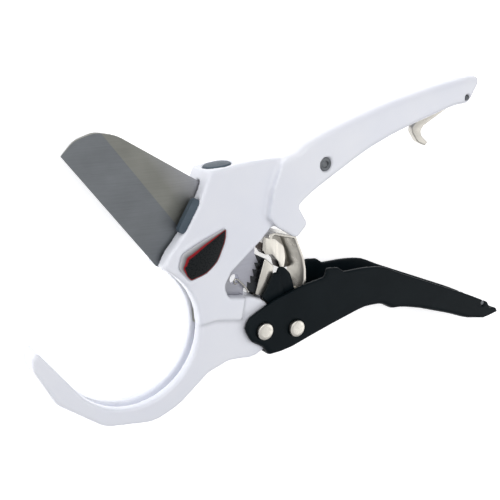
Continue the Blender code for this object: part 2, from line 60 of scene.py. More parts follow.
def cornersOf(nodeName):
    return vertexArray(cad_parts[nodeName].data)


bladeAxis = boxOf("blade_bush")[2]
pawlAxis = boxOf("pawl_rivet")[2]
midPlane = boxOf("blade")[2][2]  # height of the blade's middle over the floor
print("frame loaded, mid-plane at %.2f mm" % (midPlane / mm))


def newFinish(name, colour, roughness, metallic=0.0):
    finish = bpy.data.materials.new(name)
    finish.use_nodes = True
    shader = shaderOf(finish)
    shader.inputs["Base Color"].default_value = (*colour, 1)
    shader.inputs["Roughness"].default_value = roughness
    shader.inputs["Metallic"].default_value = metallic
    return finish


def shaderOf(finish):
    return finish.node_tree.nodes["Principled BSDF"]


def node(finish, kind, **values):
    made = finish.node_tree.nodes.new(kind)
    for key, value in values.items():
        if hasattr(made, key):
            setattr(made, key, value)
        else:
            made.inputs[key.replace("_", " ")].default_value = value
    return made


def join(finish, source, sourceSocket, target, targetSocket):
    finish.node_tree.links.new(source.outputs[sourceSocket], target.inputs[targetSocket])


def placeOnPiece(finish, scale=(1, 1, 1), turn=(0, 0, 0), start=(0, 0, 0)):
    # object coordinates, turned and stretched for the pattern
    where = node(finish, "ShaderNodeTexCoord")
    mapping = node(finish, "ShaderNodeMapping")
    mapping.inputs["Location"].default_value = start
    mapping.inputs["Rotation"].default_value = turn
    mapping.inputs["Scale"].default_value = scale
    join(finish, where, "Object", mapping, "Vector")
    return mapping


def noise(finish, mapping, scale, detail=4.0, roughness=0.55):
    made = node(finish, "ShaderNodeTexNoise", Scale=scale, Detail=detail, Roughness=roughness)
    join(finish, mapping, "Vector", made, "Vector")
    return made


def ramp(finish, source, stops, socket="Fac"):
    made = node(finish, "ShaderNodeValToRGB")
    elements = made.color_ramp.elements
    while len(elements) < len(stops):
        elements.new(0.5)
    for element, (position, colour) in zip(elements, stops):
        element.position = position
        element.color = (*colour, 1)
    join(finish, source, socket, made, "Fac")
    return made


def roughnessFrom(finish, source, low, high, socket="Fac"):
    made = node(finish, "ShaderNodeMapRange")
    made.inputs["From Min"].default_value = 0.3
    made.inputs["From Max"].default_value = 0.7
    made.inputs["To Min"].default_value = low
    made.inputs["To Max"].default_value = high
    join(finish, source, socket, made, "Value")
    join(finish, made, "Result", shaderOf(finish), "Roughness")


def colourFrom(finish, source):
    join(finish, source, "Color", shaderOf(finish), "Base Color")


def bumpFrom(finish, source, strength, distance, socket="Fac", under=None):
    made = node(finish, "ShaderNodeBump", Strength=strength, Distance=distance)
    join(finish, source, socket, made, "Height")
    if under is not None:
        join(finish, under, "Normal", made, "Normal")
    join(finish, made, "Normal", shaderOf(finish), "Normal")
    return made


def whiteEnamel():
    # thick baked enamel over a casting: faint orange peel, a shade cooler in broad patches
    finish = newFinish("whiteEnamel", (0.88, 0.90, 0.96), 0.24)
    place = placeOnPiece(finish)
    broad = noise(finish, place, 45, 3)
    colourFrom(finish, ramp(finish, broad, [(0.3, (0.85, 0.872, 0.945)), (0.7, (0.895, 0.91, 0.965))]))
    fine = noise(finish, place, 260, 2)
    roughnessFrom(finish, fine, 0.20, 0.27)
    casting = bumpFrom(finish, broad, 0.07, 0.0003)
    bumpFrom(finish, fine, 0.03, 0.00008, under=casting)
    shader = shaderOf(finish)
    shader.inputs["Coat Weight"].default_value = 0.35
    shader.inputs["Coat Roughness"].default_value = 0.12
    return finish


def blackEnamel():
    finish = newFinish("blackEnamel", (0.010, 0.014, 0.016), 0.42)
    shaderOf(finish).inputs["Specular IOR Level"].default_value = 0.11
    place = placeOnPiece(finish)
    broad = noise(finish, place, 60, 3)
    darker, lighter = (0.0022, 0.0055, 0.0075), (0.0045, 0.0088, 0.0115)
    colourFrom(finish, ramp(finish, broad, [(0.3, darker), (0.7, lighter)]))
    grain = noise(finish, place, 1900, 3)
    roughnessFrom(finish, grain, 0.36, 0.52)
    bumpFrom(finish, grain, 0.12, 0.00006)
    return finish


def brushedNickel(name="brushedNickel", turn=0.0, stretch=(60, 1500, 1500), tint=1.0, cloudiness=1.0):
    # plated strip: fine rolling lines along the strip and soft cloudy patches
    finish = newFinish(name, (0.70, 0.66, 0.58), 0.26, 1.0)
    lines = noise(finish, placeOnPiece(finish, stretch, (0, 0, turn)), 1.0, 3)
    clouds = noise(finish, placeOnPiece(finish), 160, 4)
    levels = ((0.3, 0.78 - 0.08 * cloudiness), (0.7, 0.78 + 0.08 * cloudiness))
    stops = [(at, (level * tint, 0.96 * level * tint, 0.87 * level * tint)) for at, level in levels]
    colourFrom(finish, ramp(finish, clouds, stops))
    roughnessFrom(finish, lines, 0.24, 0.38)
    bumpFrom(finish, lines, 0.10 * cloudiness, 0.00005)
    return finish


def paintSideShade(finish, colour):
    # attribute "side": 1 on the cut edges, which get painted shade in the given colour, 0 on the flat faces
    side = node(finish, "ShaderNodeAttribute", attribute_name="side")
    mixOver(finish, side, "Fac", colour)


strapLooks = {
    "finger": (-3.5, 26.5),      # from the pawl's rivet, mm
    # painted shade: the finger's dark brown stands for the shadow it lies in
    "fingerShade": (0.050, 0.038, 0.031),
    # limits from the finger: the claw's cut edges get painted shade within the first three, the finger's in
    # the rest
    "clawRight": 1 * mm, "clawTop": 5 * mm, "clawHalf": 2.6 * mm,
    "fingerLeft": -4 * mm, "fingerRight": 3 * mm, "fingerTop": 6 * mm, "fingerHalf": 1.2 * mm,
    # the patch of painted shade on the far cheek
    "shadeLeft": 2.4 * mm, "shadeDepth": 5 * mm, "shadeScale": (1, 1, 2), "shadeReach": 5.5 * mm,
    "shadeTone": (0.03, 0.03, 0.032),
}


def markShadedSides(piece, finger=None):
    # cut edges stand upright and get painted shade; on the strap only those of the claw and of its finger
    # are marked
    mesh = piece.data
    normal, centre = np.empty(len(mesh.polygons) * 3), np.empty(len(mesh.polygons) * 3)
    mesh.polygons.foreach_get("normal", normal)
    mesh.polygons.foreach_get("center", centre)
    shaded = np.abs(normal[2::3]) < 0.3
    if finger is not None:
        limit = strapLooks
        x, y, z = (centre.reshape(-1, 3) - (*finger, midPlane)).T
        claw = (x < limit["clawRight"]) & (y < limit["clawTop"]) & (np.abs(z) < limit["clawHalf"])
        across = (x > limit["fingerLeft"]) & (x < limit["fingerRight"])
        shaded = shaded & claw | across & (y < limit["fingerTop"]) & (np.abs(z) < limit["fingerHalf"])
    mesh.attributes.new("side", "FLOAT", "FACE").data.foreach_set("value", shaded.astype(float))


def mixOver(finish, mask, socket, colour):
    # another base colour over the one already there, by a mask
    tree = finish.node_tree
    base = shaderOf(finish).inputs["Base Color"]
    before = base.links[0].from_socket
    mix = tree.nodes.new("ShaderNodeMix")
    mix.data_type = "RGBA"
    tree.links.new(mask.outputs[socket], mix.inputs[0])
    tree.links.new(before, mix.inputs[6])
    mix.inputs[7].default_value = (*colour, 1)
    tree.links.new(mix.outputs[2], base)


def darkenNear(finish, centre, scale, reach, colour):
    # a patch of painted shade in another colour: scaled distance from a point on the piece, faded out over
    # its last fifth
    place = node(finish, "ShaderNodeTexCoord")
    away = node(finish, "ShaderNodeVectorMath")
    away.operation = "SUBTRACT"
    away.inputs[1].default_value = tuple(centre)
    stretch = node(finish, "ShaderNodeVectorMath")
    stretch.operation = "MULTIPLY"
    stretch.inputs[1].default_value = [k / reach for k in scale]
    size = node(finish, "ShaderNodeVectorMath")
    size.operation = "LENGTH"
    join(finish, place, "Object", away, 0)
    join(finish, away, "Vector", stretch, 0)
    join(finish, stretch, "Vector", size, 0)
    mask = ramp(finish, size, [(0.8, (1, 1, 1)), (1.0, (0, 0, 0))], "Value")
    mixOver(finish, mask, "Color", colour)


def groundSteel():
    # attribute "zone": 0 on the wide grind, 0.5 on the flat flank, 1 on the tail behind the hub
    finish = newFinish("groundSteel", (0.40, 0.41, 0.41), 0.38, 1.0)
    along = noise(finish, placeOnPiece(finish, (90, 2600, 900), (0, 0, edgeTurn)), 1.0, 3)
    clouds = noise(finish, placeOnPiece(finish), 90, 5)
    zone = node(finish, "ShaderNodeAttribute", attribute_name="zone")
    grind, flank, tail = (0.225, 0.240, 0.252), (0.275, 0.278, 0.252), (0.50, 0.505, 0.56)
    tone = ramp(finish, zone, [(0.0, grind), (0.25, grind), (0.3, flank), (0.6, flank), (1.0, tail)])
    wear = ramp(finish, clouds, [(0.3, (0.90, 0.90, 0.90)), (0.7, (1.05, 1.05, 1.05))])
    product = finish.node_tree.nodes.new("ShaderNodeVectorMath")
    product.operation = "MULTIPLY"
    join(finish, tone, "Color", product, 0)
    join(finish, wear, "Color", product, 1)
    join(finish, product, "Vector", shaderOf(finish), "Base Color")
    roughnessFrom(finish, along, 0.46, 0.60)
    bumpFrom(finish, along, 0.07, 0.00004)
    return finish


def rubberAndShadePad():
    # the front pads are dark rubber; on the top pad the same dark is painted shade, standing for a shaded
    # channel end in the body's top
    finish = newFinish("rubberAndShadePad", (0.035, 0.047, 0.062), 0.48)
    place = placeOnPiece(finish)
    clouds = noise(finish, place, 130, 3)
    colourFrom(finish, ramp(finish, clouds, [(0.3, (0.045, 0.070, 0.094)), (0.7, (0.082, 0.112, 0.142))]))
    grain = noise(finish, place, 2600, 3)
    roughnessFrom(finish, grain, 0.42, 0.6)
    bumpFrom(finish, grain, 0.2, 0.00005)
    return finish


def labelFilm():
    # attribute "band": silver from 0 to 0.25, the red line to 0.5, then the black field
    finish = newFinish("labelFilm", (0.02, 0.02, 0.022), 0.25)
    band = node(finish, "ShaderNodeAttribute", attribute_name="band")
    # the silver rim and red line are print; the silver's fade from a pale outer edge to dark silver is a
    # painted highlight
    paleRimHighlight, silver = (0.58, 0.58, 0.60), (0.13, 0.12, 0.125)
    red, darkRed, black = (0.36, 0.010, 0.018), (0.24, 0.008, 0.012), (0.006, 0.008, 0.009)
    stops = [(0.0, paleRimHighlight), (0.225, silver), (0.25, red), (0.42, darkRed), (0.50, black), (1.0, black)]
    colourFrom(finish, ramp(finish, band, stops))
    shaderOf(finish).inputs["Specular IOR Level"].default_value = 0.18
    sparkle = noise(finish, placeOnPiece(finish), 1800, 3)
    roughnessFrom(finish, sparkle, 0.22, 0.36)
    bumpFrom(finish, sparkle, 0.05, 0.00003)
    return finish


def darkSteel():
    finish = newFinish("darkSteel", (0.16, 0.17, 0.18), 0.36, 1.0)
    place = placeOnPiece(finish)
    patches = noise(finish, place, 500, 3)
    colourFrom(finish, ramp(finish, patches, [(0.3, (0.10, 0.11, 0.12)), (0.7, (0.22, 0.23, 0.24))]))
    roughnessFrom(finish, patches, 0.3, 0.5)
    bumpFrom(finish, patches, 0.1, 0.00004)
    return finish


def springSteel():
    finish = newFinish("springSteel", (0.5, 0.49, 0.46), 0.28, 1.0)
    place = placeOnPiece(finish)
    drawn = noise(finish, place, 900, 3)
    colourFrom(finish, ramp(finish, drawn, [(0.3, (0.40, 0.39, 0.36)), (0.7, (0.60, 0.58, 0.54))]))
    roughnessFrom(finish, drawn, 0.22, 0.36)
    bumpFrom(finish, drawn, 0.08, 0.00003)
    return finish


def addMesh(name, points, faces, finish, smoothAngle=35.0):
    mesh = bpy.data.meshes.new(name)
    mesh.from_pydata(points.tolist(), [], faces)
    mesh.materials.append(finish)
    mesh.shade_smooth()
    if smoothAngle is not None:
        mesh.set_sharp_from_angle(angle=math.radians(smoothAngle))
    mesh.update()
    made = bpy.data.objects.new(name, mesh)
    bpy.context.scene.collection.objects.link(made)
    return made


def wallFaces(rings, around):
    # quads between ring i and ring i + 1 of a grid of closed rings
    row, column = np.meshgrid(np.arange(rings - 1), np.arange(around), indexing="ij")
    after = (column + 1) % around
    quads = np.stack([row * around + column, row * around + after,
                      (row + 1) * around + after, (row + 1) * around + column], -1)
    return quads.reshape(-1, 4).tolist()


def capFaces(first, around, pole, outward):
    # triangles from one ring to its pole
    here = np.arange(around)
    after = (here + 1) % around
    fan = np.stack([here + first, after + first, np.full(around, pole)], -1)
    return (fan if outward else fan[:, ::-1]).tolist()


def turnedPiece(name, profile, centre, finish, sides=72):
    # x = cx + r(s) cos t, y = cy + r(s) sin t, z = cz + h(s); both ends of the profile lie on the axis
    profile = np.asarray(profile, float)
    ring = profile[1:-1]
    turn = np.linspace(0, 2 * np.pi, sides, endpoint=False)
    grid = np.stack([ring[:, :1] * np.cos(turn), ring[:, :1] * np.sin(turn),
                     np.repeat(ring[:, 1:], sides, 1)], -1).reshape(-1, 3)
    points = np.vstack([grid, [[0, 0, profile[0, 1]], [0, 0, profile[-1, 1]]]]) + centre
    faces = wallFaces(len(ring), sides)
    faces += capFaces(0, sides, len(grid), False)
    faces += capFaces((len(ring) - 1) * sides, sides, len(grid) + 1, True)
    return addMesh(name, points, faces, finish)


def wirePiece(name, path, radius, finish, sides=12):
    # round wire: p(s, t) = path(s) + radius (cos t side(s) + sin t up(s)), with domed ends
    path = np.asarray(path, float)
    along = np.gradient(path, axis=0)
    along /= np.linalg.norm(along, axis=1, keepdims=True)
    upright = np.array([0.02, 0.05, 1.0])
    side = np.cross(along, upright)
    side /= np.linalg.norm(side, axis=1, keepdims=True)
    other = np.cross(along, side)
    dome = np.array([0.45, 0.85, 1.0])
    reach = np.array([0.9, 0.5, 0.0])
    centres = np.vstack([path[0] - along[0] * reach[:, None] * radius, path[1:-1],
                         path[-1] + along[-1] * reach[::-1, None] * radius])
    width = radius * np.concatenate([dome, np.ones(len(path) - 2), dome[::-1]])
    sideAll = np.vstack([np.repeat(side[:1], 3, 0), side[1:-1], np.repeat(side[-1:], 3, 0)])
    otherAll = np.vstack([np.repeat(other[:1], 3, 0), other[1:-1], np.repeat(other[-1:], 3, 0)])
    turn = np.linspace(0, 2 * np.pi, sides, endpoint=False)
    cos, sin = np.cos(turn)[None, :, None], np.sin(turn)[None, :, None]
    grid = centres[:, None] + width[:, None, None] * (cos * sideAll[:, None] + sin * otherAll[:, None])
    ends = np.array([path[0] - along[0] * radius, path[-1] + along[-1] * radius])
    points = np.vstack([grid.reshape(-1, 3), ends])
    rings = len(centres)
    faces = wallFaces(rings, sides)
    faces += capFaces(0, sides, rings * sides, False)
    faces += capFaces((rings - 1) * sides, sides, rings * sides + 1, True)
    made = addMesh(name, points, faces, finish, None)
    faceOutward(made)
    return made


def faceOutward(piece):
    shape = bmesh.new()
    shape.from_mesh(piece.data)
    bmesh.ops.recalc_face_normals(shape, faces=shape.faces)
    if shape.calc_volume(signed=True) < 0:
        bmesh.ops.reverse_faces(shape, faces=shape.faces)
    shape.to_mesh(piece.data)
    shape.free()


def mergedCopy(nodeName, name, finish):
    # a closed copy of a CAD node's mesh, whose own triangles are loose
    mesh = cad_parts[nodeName].data.copy()
    mesh.name = name
    shape = bmesh.new()
    shape.from_mesh(mesh)
    bmesh.ops.remove_doubles(shape, verts=shape.verts, dist=2e-6)
    bmesh.ops.dissolve_limit(shape, angle_limit=math.radians(0.5), verts=shape.verts, edges=shape.edges)
    shape.to_mesh(mesh)
    shape.free()
    mesh.materials.clear()
    mesh.materials.append(finish)
    made = bpy.data.objects.new(name, mesh)
    bpy.context.scene.collection.objects.link(made)
    return made


def settle(piece):
    # put the result of the piece's modifiers into its mesh
    graph = bpy.context.evaluated_depsgraph_get()
    mesh = bpy.data.meshes.new_from_object(piece.evaluated_get(graph))
    piece.modifiers.clear()
    old = piece.data
    piece.data = mesh
    mesh.name = piece.name
    bpy.data.meshes.remove(old)
    return mesh


def bevelled(nodeName, name, finish, width, segments=3, angle=25.0):
    piece = mergedCopy(nodeName, name, finish)
    bevel = piece.modifiers.new("edges", "BEVEL")
    bevel.width = width
    bevel.segments = segments
    bevel.limit_method = "ANGLE"
    bevel.angle_limit = math.radians(angle)
    bevel.use_clamp_overlap = True
    bevel.harden_normals = False
    settle(piece)
    piece.data.shade_smooth()
    piece.data.set_sharp_from_angle(angle=math.radians(40))
    return piece


def remeshed(nodeName, name, finish, voxel):
    piece = mergedCopy(nodeName, name, finish)
    remesh = piece.modifiers.new("skin", "REMESH")
    remesh.mode = "VOXEL"
    remesh.voxel_size = voxel
    remesh.use_smooth_shade = True
    settle(piece)
    piece.data.materials.clear()
    piece.data.materials.append(finish)
    return piece


def relax(piece, rounds, weight=None):
    # Taubin smoothing: each vertex moves towards the mean of its neighbours by 0.5, then away by 0.52
    mesh = piece.data
    co = vertexArray(mesh)
    ends = np.empty(len(mesh.edges) * 2, int)
    mesh.edges.foreach_get("vertices", ends)
    first, second = ends.reshape(-1, 2).T
    count = np.bincount(np.concatenate([first, second]), minlength=len(co))[:, None]
    weight = np.ones((len(co), 1)) if weight is None else weight[:, None]
    for _ in range(rounds):
        for pull in (0.5, -0.52):
            total = np.stack([np.bincount(first, co[second, k], len(co))
                              + np.bincount(second, co[first, k], len(co)) for k in range(3)], 1)
            co = co + pull * weight * (total / count - co)
    mesh.vertices.foreach_set("co", co.ravel())
    mesh.update()
    return co


def nearestOn(points, outline):
    # the nearest point, in the plan, on a closed outline of straight stretches
    step = np.roll(outline, -1, 0) - outline
    share = ((points[:, None] - outline) * step).sum(2) / np.maximum((step ** 2).sum(1), 1e-18)
    feet = outline + np.clip(share, 0, 1)[..., None] * step
    best = ((points[:, None] - feet) ** 2).sum(2).argmin(1)
    return feet[np.arange(len(points)), best]


def distanceTo(points, outline):
    return np.linalg.norm(points - nearestOn(points, outline), axis=1)


def outlineOf(nodeName, count):
    # the plan outline of a flat CAD node, evenly spaced, anticlockwise round its middle
    co = cornersOf(nodeName)
    low, _, middle = boxOf(nodeName)
    flat = np.unique(np.round(co[co[:, 2] < low[2] + 1e-5][:, :2], 7), axis=0)
    angle = np.arctan2(flat[:, 1] - middle[1], flat[:, 0] - middle[0])
    flat = flat[np.argsort(angle)]
    loop = np.vstack([flat, flat[:1]])
    travelled = np.concatenate([[0], np.cumsum(np.linalg.norm(np.diff(loop, axis=0), axis=1))])
    even = np.linspace(0, travelled[-1], count, endpoint=False)
    return np.stack([np.interp(even, travelled, loop[:, k]) for k in range(2)], 1)


bladeLooks = {
    "bevel": 0.12 * mm,
    "edgeEnd": (-15.6, -1.5),    # where the cutting edge runs into the hub, from the pivot, mm
    "levelGrind": 0.97,          # a face nearer to level than this is flat, or ground
    "levelFlank": 0.9998,        # and nearer than this it is the flat flank
    "tailStart": 9 * mm,         # behind the pivot
    "tailFade": 4 * mm,
}
bladeCorners = cornersOf("blade")
bladeTip = bladeCorners[np.argmin(bladeCorners[:, 0])]
edgeEnd = bladeAxis[:2] + np.array(bladeLooks["edgeEnd"]) * mm
edgeWay = (bladeTip[:2] - edgeEnd) / np.linalg.norm(bladeTip[:2] - edgeEnd)
edgeTurn = -math.atan2(edgeWay[1], edgeWay[0])


def makeBlade():
    piece = bevelled("blade", "cuttingBlade", groundSteel(), bladeLooks["bevel"], 2, 40)
    mesh = piece.data
    normal = np.empty(len(mesh.polygons) * 3)
    mesh.polygons.foreach_get("normal", normal)
    level = np.abs(normal[2::3])
    mesh.polygons.foreach_set("use_smooth", level < bladeLooks["levelGrind"])
    # the tail's colour comes in past the hub, so the flank's corners are told apart one by one
    ends = np.empty(len(mesh.loops), int)
    mesh.loops.foreach_get("vertex_index", ends)
    faceOfCorner = np.repeat(np.arange(len(mesh.polygons)), [p.loop_total for p in mesh.polygons])
    grind = (level > bladeLooks["levelGrind"]) & (level < bladeLooks["levelFlank"])
    behind = vertexArray(mesh)[ends, 0] - bladeAxis[0]
    past = np.clip((behind - bladeLooks["tailStart"]) / bladeLooks["tailFade"], 0, 1)
    zone = np.where(grind[faceOfCorner], 0.0, 0.5 + 0.5 * past)
    mesh.attributes.new("zone", "FLOAT", "CORNER").data.foreach_set("value", zone)
    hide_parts("blade")
    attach(piece, "blade")
    print("blade", len(piece.data.polygons), "faces")


bodyLooks = {
    "voxel": 0.62 * mm,
    "rounds": 9,
    "gripRounds": 40,
    "gripStart": 6 * mm,          # in front of the grip's screw
    "gripFade": 10 * mm,
    "gripWeight": 0.9,
    "labelBorder": 0.9 * mm,      # from the label's edge to the middle of its raised border
    "labelBorderWidth": 0.9 * mm,
    "labelBorderRise": 0.35 * mm,
    "labelReach": 16 * mm,        # how far from the label's middle the border may lie
    "labelDepth": 0.6 * mm,
    "noseStart": 3 * mm,
    "noseFade": 8 * mm,
    "noseLeast": 0.15,
}


def makeBody():
    piece = remeshed("body", "castBody", whiteEnamel(), bodyLooks["voxel"])
    co = vertexArray(piece.data)
    screw = boxOf("grip_screw")[2]
    grip = np.clip((co[:, 0] - screw[0] + bodyLooks["gripStart"]) / bodyLooks["gripFade"], 0, 1)
    relax(piece, bodyLooks["rounds"])
    co = relax(piece, bodyLooks["gripRounds"], bodyLooks["gripWeight"] * grip)
    # raised border round the label, stronger on the nose side
    outline = outlineOf("label_plate", 90)
    low, _, middle = boxOf("label_plate")
    near = co[:, 2] > low[2] - bodyLooks["labelDepth"]
    near &= np.linalg.norm(co[:, :2] - middle[:2], axis=1) < bodyLooks["labelReach"]
    away = distanceTo(co[near, :2], outline)
    bump = np.exp(-((away - bodyLooks["labelBorder"]) / (0.5 * bodyLooks["labelBorderWidth"])) ** 2)
    nose = (middle[0] + bodyLooks["noseStart"] - co[near, 0]) / bodyLooks["noseFade"]
    nose = np.clip(nose, bodyLooks["noseLeast"], 1)
    lifted = co.copy()
    lifted[near, 2] += bodyLooks["labelBorderRise"] * bump * nose
    piece.data.vertices.foreach_set("co", lifted.ravel())
    piece.data.update()
    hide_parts("body")
    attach(piece, "body")
    print("body", len(piece.data.polygons), "faces")


handleLooks = {"voxel": 0.42 * mm, "rounds": 12}


def makeHandle():
    piece = remeshed("lower_handle", "pressedHandle", blackEnamel(), handleLooks["voxel"])
    relax(piece, handleLooks["rounds"])
    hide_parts("lower_handle")
    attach(piece, "lower_handle")
    print("handle", len(piece.data.polygons), "faces")


labelLooks = {
    "points": 168, "rings": 26, "edge": 0.2 * mm, "crown": 0.25 * mm,
    "silverWide": 1.9, "silverNarrow": 0.4,   # width of the silver rim on the upper left and lower right, mm
    "redWide": 1.0, "redNarrow": 0.15,
    "upperLeft": (-0.70, 0.714),
    "wideFrom": 5.5 * mm,        # how far to the upper left of the middle the lines are at their widest
}


def makeLabel():
    # rings shrink from the rim to the middle: p(s, t) = middle + s (outline(t) - middle)
    # and the face is crowned: z = top + crown (1 - s^2)
    low, high, middle = boxOf("label_plate")
    outline = outlineOf("label_plate", labelLooks["points"])
    edge, crown = labelLooks["edge"], labelLooks["crown"]
    flat = np.linspace(0.975, 0.04, labelLooks["rings"])
    shrink = np.concatenate([[1.0, 1.0, 0.995, 0.985], flat])
    height = np.concatenate([[low[2], high[2] - edge, high[2] - 0.35 * edge, high[2] - 0.05 * edge],
                             high[2] + crown * (1 - flat ** 2)])
    centre = middle[:2]
    grid = np.concatenate([centre + shrink[:, None, None] * (outline - centre),
                           np.repeat(height[:, None, None], len(outline), 1)], -1)
    around = len(outline)
    count = len(shrink) * around
    points = np.vstack([grid.reshape(-1, 3), [[*centre, low[2]], [*centre, high[2] + crown]]])
    faces = wallFaces(len(shrink), around)
    faces += capFaces(0, around, count, False)
    faces += capFaces(count - around, around, count + 1, True)
    piece = addMesh("labelBadge", points, faces, labelFilm())
    # depth from the rim against the width of the silver and red lines there; both widen to the upper left
    foot = nearestOn(points[:, :2], outline)
    way = (foot - centre) @ np.array(labelLooks["upperLeft"])
    upperLeft = np.clip(way / labelLooks["wideFrom"], 0, 1)
    depth = np.linalg.norm(points[:, :2] - foot, axis=1) / mm
    silver = labelLooks["silverNarrow"] + (labelLooks["silverWide"] - labelLooks["silverNarrow"]) * upperLeft
    red = labelLooks["redNarrow"] + (labelLooks["redWide"] - labelLooks["redNarrow"]) * upperLeft
    band = np.where(depth < silver, 0.25 * depth / silver, 0.25 + 0.25 * (depth - silver) / red)
    attribute = piece.data.attributes.new("band", "FLOAT", "POINT")
    attribute.data.foreach_set("value", np.clip(band, 0, 1))
    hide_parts("label_plate")
    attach(piece, "body")
    print("label")


padLooks = {"edge": 0.32, "crown": 0.16, "sides": 96}  # edge and crown as shares of the height


def makePad(nodeName, name):
    # stadium rings: the rim stands straight, turns over on a quarter circle, and crowns to the middle
    co = cornersOf(nodeName)
    middle = (co.max(0) + co.min(0)) / 2
    spread = np.linalg.svd(np.unique(np.round(co, 6), axis=0) - middle, full_matrices=False)[2]
    longWay, crossWay, up = spread
    if "top" in nodeName and up[1] < 0 or "top" not in nodeName and up[0] > 0:
        up = -up
    if np.dot(np.cross(longWay, crossWay), up) < 0:
        crossWay = -crossWay
    local = (co - middle) @ np.stack([longWay, crossWay, up]).T
    halfLength, halfWidth, halfHeight = (local.max(0) - local.min(0)) / 2
    sides = padLooks["sides"]
    turn = np.linspace(0, 2 * np.pi, sides, endpoint=False)
    reach = halfLength - halfWidth
    edge = padLooks["edge"] * 2 * halfHeight
    crown = padLooks["crown"] * 2 * halfHeight
    quarter = np.linspace(0, np.pi / 2, 6)
    inset = np.concatenate([[0.0], edge * (1 - np.cos(quarter)), np.linspace(edge, halfWidth, 8)[1:-1]])
    rise = np.concatenate([[-halfHeight], halfHeight - edge + edge * np.sin(quarter) - crown,
                           halfHeight - crown + crown * np.sin(np.linspace(0, np.pi / 2, 8))[1:-1]])
    radius = (halfWidth - inset)[:, None]
    grid = np.stack([reach * np.tanh(6 * np.cos(turn)) + radius * np.cos(turn),
                     radius * np.sin(turn), np.repeat(rise[:, None], len(turn), 1)], -1).reshape(-1, 3)
    rings = len(inset)
    spine = [[0, 0, -halfHeight], [0, 0, halfHeight]]
    points = np.vstack([grid, spine]) @ np.stack([longWay, crossWay, up]) + middle
    faces = wallFaces(rings, sides)
    faces += capFaces(0, sides, len(grid), False)
    faces += capFaces((rings - 1) * sides, sides, len(grid) + 1, True)
    piece = addMesh(name, points, faces, rubberAndShadePad())
    faceOutward(piece)
    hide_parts(nodeName)
    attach(piece, "body")
    print("pad", name)


rivetLooks = {
    "head": 1.2 * mm,
    "shank": 0.82,
    "crown": [(0, 0), (0.6, 0), (0.86, 0.03), (0.96, 0.16), (1, 0.45)],  # share of the radius, drop in mm
    "undercut": (0.96, 0.1),
}


def makeRivet(nodeName, name, body):
    low, high, middle = boxOf(nodeName)
    half = (high[2] - low[2]) / 2
    head = (high[0] - low[0]) / 2
    under = half - rivetLooks["head"]
    inset, lip = rivetLooks["undercut"]
    top = [(share * head, half - drop * mm) for share, drop in rivetLooks["crown"]]
    top += [(head, under + lip * mm), (inset * head, under), (rivetLooks["shank"] * head, under)]
    profile = [(r, -z) for r, z in top] + [(r, z) for r, z in reversed(top)]
    finish = brushedNickel(name + "Nickel", 0.0, (700, 700, 700), 1.0, 0.25)
    piece = turnedPiece(name, profile, middle, finish, 80)
    faceOutward(piece)
    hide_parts(nodeName)
    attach(piece, body)
    print("rivet", name)


pinLooks = {"chamfer": 0.22, "corner": 0.3}  # chamfer as a share of the radius, its corner of the chamfer


def makePin(nodeName, name, body, finish):
    low, high, middle = boxOf(nodeName)
    half, radius = (high[2] - low[2]) / 2, (high[0] - low[0]) / 2
    chamfer = pinLooks["chamfer"] * radius
    corner = pinLooks["corner"] * chamfer
    top = [(0, half), (radius - chamfer, half), (radius - corner, half - corner), (radius, half - chamfer)]
    profile = [(r, -z) for r, z in top] + [(r, z) for r, z in reversed(top)]
    piece = turnedPiece(name, profile, middle, finish, 48)
    faceOutward(piece)
    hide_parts(nodeName)
    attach(piece, body)


def makeSmallHardware():
    makeRivet("handle_rivet", "handleRivet", "lower_handle")
    makeRivet("pawl_rivet", "pawlRivet", "lower_handle")
    makePin("latch_pin", "latchPin", "body", darkSteel())
    makePin("check_pin", "checkPin", "body", brushedNickel("pinNickel", 0, (700, 700, 700)))
    makePin("catch_pin", "catchPin", "lower_handle", darkSteel())
    onBolt = (("blade_bush", "bladeBush"), ("blade_bolt", "bladeBolt"), ("bolt_washer", "boltWasher"))
    for nodeName, name in onBolt:
        finish = brushedNickel(name + "Nickel", 0.0, (500, 500, 500))
        piece = bevelled(nodeName, name, finish, 0.12 * mm, 2, 30)
        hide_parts(nodeName)
        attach(piece, "body")
    piece = bevelled("grip_screw", "gripScrew", darkSteel(), 0.12 * mm, 2, 30)
    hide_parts("grip_screw")
    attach(piece, "body")
    print("pins, bolt and screw")


def makeCoil(nodeName, name, body, turns, wire=0.28 * mm):
    # helix p(t) = middle + (R cos t, R sin t, rise t)
    low, high, middle = boxOf(nodeName)
    ringRadius = (high[0] - low[0]) / 2 - wire
    t = np.linspace(0, 2 * np.pi * turns, int(40 * turns))
    rise = np.linspace(low[2] + wire, high[2] - wire, len(t))
    path = np.stack([middle[0] + ringRadius * np.cos(t), middle[1] + ringRadius * np.sin(t), rise], 1)
    piece = wirePiece(name, path, wire, springSteel())
    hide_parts(nodeName)
    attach(piece, body)


def makeSprings():
    makeCoil("latch_spring", "latchSpring", "latch_hook", 2.5)
    makeCoil("feed_pawl_spring", "feedPawlSpring", "feed_pawl", 1.5)
    makeCoil("handle_spring", "handleSpring", "feed_pawl", 1.5)
    piece = bevelled("blade_spring", "bladeSpring", springSteel(), 0.05 * mm, 1, 60)
    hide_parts("blade_spring")
    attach(piece, "body")
    print("springs")


